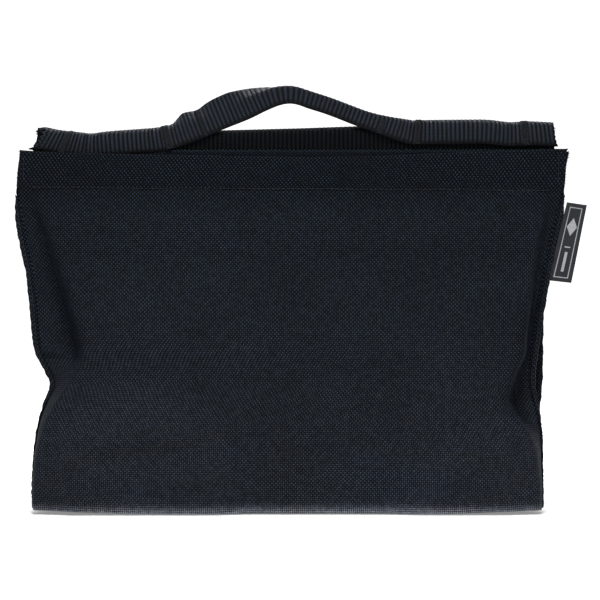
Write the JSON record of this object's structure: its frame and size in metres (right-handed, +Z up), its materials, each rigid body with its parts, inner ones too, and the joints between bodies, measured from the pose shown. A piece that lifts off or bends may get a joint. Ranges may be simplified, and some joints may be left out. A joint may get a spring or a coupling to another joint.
{
  "type": "saddle sandbag",
  "caption": "Black cloth saddle sandbag: sand pouches joined by a webbing ridge, with zipped mouths under touch-fastened hems and an arched, folded webbing handle.",
  "frame": {"origin": "on the floor, at the middle of the bounding box of the standing bag with its label", "axes": "+X along the ridge, the label's end positive; +Y from the front pouch to the rear one; +Z up"},
  "size_m": [0.4181, 0.095, 0.316],
  "materials": {
    "shell_cloth": "matte",
    "webbing": "satin",
    "thread": "satin",
    "touch_fastener": "matte",
    "zip_cloth": "matte",
    "zip_nylon": "satin",
    "zip_metal": "satin",
    "sack_film": "satin",
    "sand": "matte",
    "label_ribbon": "satin",
    "label_ink": "matte"
  },
  "bodies": {
    "spine": {"bridge_panel": "shell_cloth", "ridge_webbing": "webbing", "left_handle_anchor": "webbing", "right_handle_anchor": "webbing", "anchor_tacks": "thread"},
    "handle": {"handle_grip": "webbing", "grip_tacks": "thread"},
    "front_pouch": {"front_outer_panel": "shell_cloth", "front_inner_panel": "shell_cloth", "front_left_seam": "shell_cloth", "front_right_seam": "shell_cloth", "front_side_stitching": "thread", "front_loop_strip": "touch_fastener", "front_zip_outer_tape": "zip_cloth", "front_zip_inner_tape": "zip_cloth", "front_zip_coil": "zip_nylon", "front_zip_stops": "zip_metal", "front_sand_sack": "sack_film", "front_sand": "sand", "label": "label_ribbon", "label_print": "label_ink"},
    "front_mouth_flap": {"front_mouth_hem": "shell_cloth", "front_hem_stitching": "thread", "front_hook_strip": "touch_fastener"},
    "front_zip_slider": {"front_zip_slider": "zip_metal"},
    "front_zip_pull": {"front_zip_pull": "zip_metal"},
    "rear_pouch": {"rear_outer_panel": "shell_cloth", "rear_inner_panel": "shell_cloth", "rear_left_seam": "shell_cloth", "rear_right_seam": "shell_cloth", "rear_side_stitching": "thread", "rear_loop_strip": "touch_fastener", "rear_zip_outer_tape": "zip_cloth", "rear_zip_inner_tape": "zip_cloth", "rear_zip_coil": "zip_nylon", "rear_zip_stops": "zip_metal", "rear_sand_sack": "sack_film", "rear_sand": "sand"},
    "rear_mouth_flap": {"rear_mouth_hem": "shell_cloth", "rear_hem_stitching": "thread", "rear_hook_strip": "touch_fastener"},
    "rear_zip_slider": {"rear_zip_slider": "zip_metal"},
    "rear_zip_pull": {"rear_zip_pull": "zip_metal"}
  },
  "joints": [
    {"name": "handle_tilt", "type": "hinge", "parent": "spine", "child": "handle", "pos_m": [-0.007, 0, 0.2857], "axis": [1, 0, 0], "range_deg": [-50, 30], "stiffness_Nm_per_rad": 0.012},
    {"name": "front_pouch_swing", "type": "hinge", "parent": "spine", "child": "front_pouch", "pos_m": [-0.007, -0.0093, 0.266], "axis": [-1, 0, 0], "range_deg": [0, 90]},
    {"name": "front_mouth_open", "type": "hinge", "parent": "front_pouch", "child": "front_mouth_flap", "pos_m": [-0.007, -0.0116, 0.238], "axis": [1, 0, 0], "range_deg": [0, 60]},
    {"name": "front_zip_slide", "type": "slide", "parent": "front_pouch", "child": "front_zip_slider", "axis": [1, 0, 0], "range_m": [-0.33, 0]},
    {"name": "front_zip_pull_tilt", "type": "hinge", "parent": "front_zip_slider", "child": "front_zip_pull", "pos_m": [0.155, -0.01189, 0.2122], "axis": [0, -1, 0], "range_deg": [0, 170]},
    {"name": "rear_pouch_swing", "type": "hinge", "parent": "spine", "child": "rear_pouch", "pos_m": [-0.007, 0.0093, 0.266], "axis": [1, 0, 0], "range_deg": [0, 90]},
    {"name": "rear_mouth_open", "type": "hinge", "parent": "rear_pouch", "child": "rear_mouth_flap", "pos_m": [-0.007, 0.0116, 0.238], "axis": [-1, 0, 0], "range_deg": [0, 60]},
    {"name": "rear_zip_slide", "type": "slide", "parent": "rear_pouch", "child": "rear_zip_slider", "axis": [1, 0, 0], "range_m": [-0.33, 0]},
    {"name": "rear_zip_pull_tilt", "type": "hinge", "parent": "rear_zip_slider", "child": "rear_zip_pull", "pos_m": [0.155, 0.01189, 0.2122], "axis": [0, -1, 0], "range_deg": [0, 170]}
  ]
}
